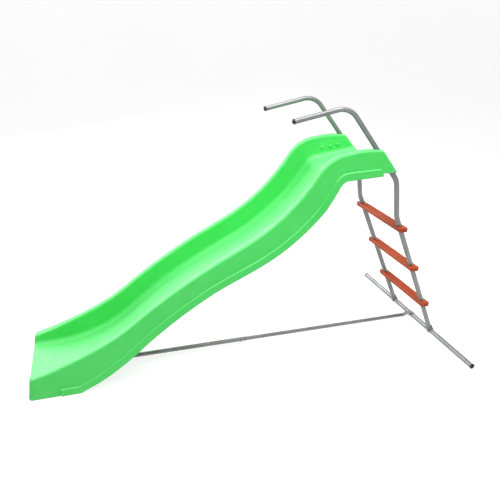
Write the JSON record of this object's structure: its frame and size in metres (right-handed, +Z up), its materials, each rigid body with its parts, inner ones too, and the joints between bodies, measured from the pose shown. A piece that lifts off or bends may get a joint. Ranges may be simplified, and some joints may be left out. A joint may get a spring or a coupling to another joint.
{
  "type": "playground slide",
  "caption": "Free-standing garden wave slide with a moulded plastic chute, bent tube handrails and a tube ladder with plastic steps on a T-shaped ground frame.",
  "frame": {"origin": "on the ground, at the middle of the overall length and width", "axes": "+X along the slide from its exit to the ladder, +Y across it, +Z up"},
  "size_m": [2.7262, 1.364, 1.6005],
  "materials": {
    "green_plastic": "smooth satin moulded plastic",
    "grey_steel": "satin grey powder coat",
    "orange_plastic": "moulded plastic with a ribbed tread",
    "black_plastic": "moulded plastic",
    "zinc_steel": "zinc plated"
  },
  "bodies": {
    "root": {"slide_chute": "green_plastic", "handrail_left": "grey_steel", "handrail_right": "grey_steel", "ladder_stile_left": "grey_steel", "ladder_stile_right": "grey_steel", "ground_bar_left": "grey_steel", "ground_bar_right": "grey_steel", "tie_bar_front": "grey_steel", "tie_bar_rear": "grey_steel", "step_lower": "orange_plastic", "step_middle": "orange_plastic", "step_upper": "orange_plastic", "handrail_cap_left": "black_plastic", "handrail_cap_right": "black_plastic", "ground_bar_cap_left": "black_plastic", "ground_bar_cap_right": "black_plastic", "step_screws": "zinc_steel", "chute_screws": "zinc_steel", "stile_foot_bolts": "zinc_steel", "stile_foot_nuts": "zinc_steel", "tie_joint_bolt": "zinc_steel", "tie_joint_nut": "zinc_steel", "tie_front_screw": "zinc_steel", "tie_rear_bolt": "zinc_steel", "tie_rear_nut": "zinc_steel"}
  },
  "joints": []
}
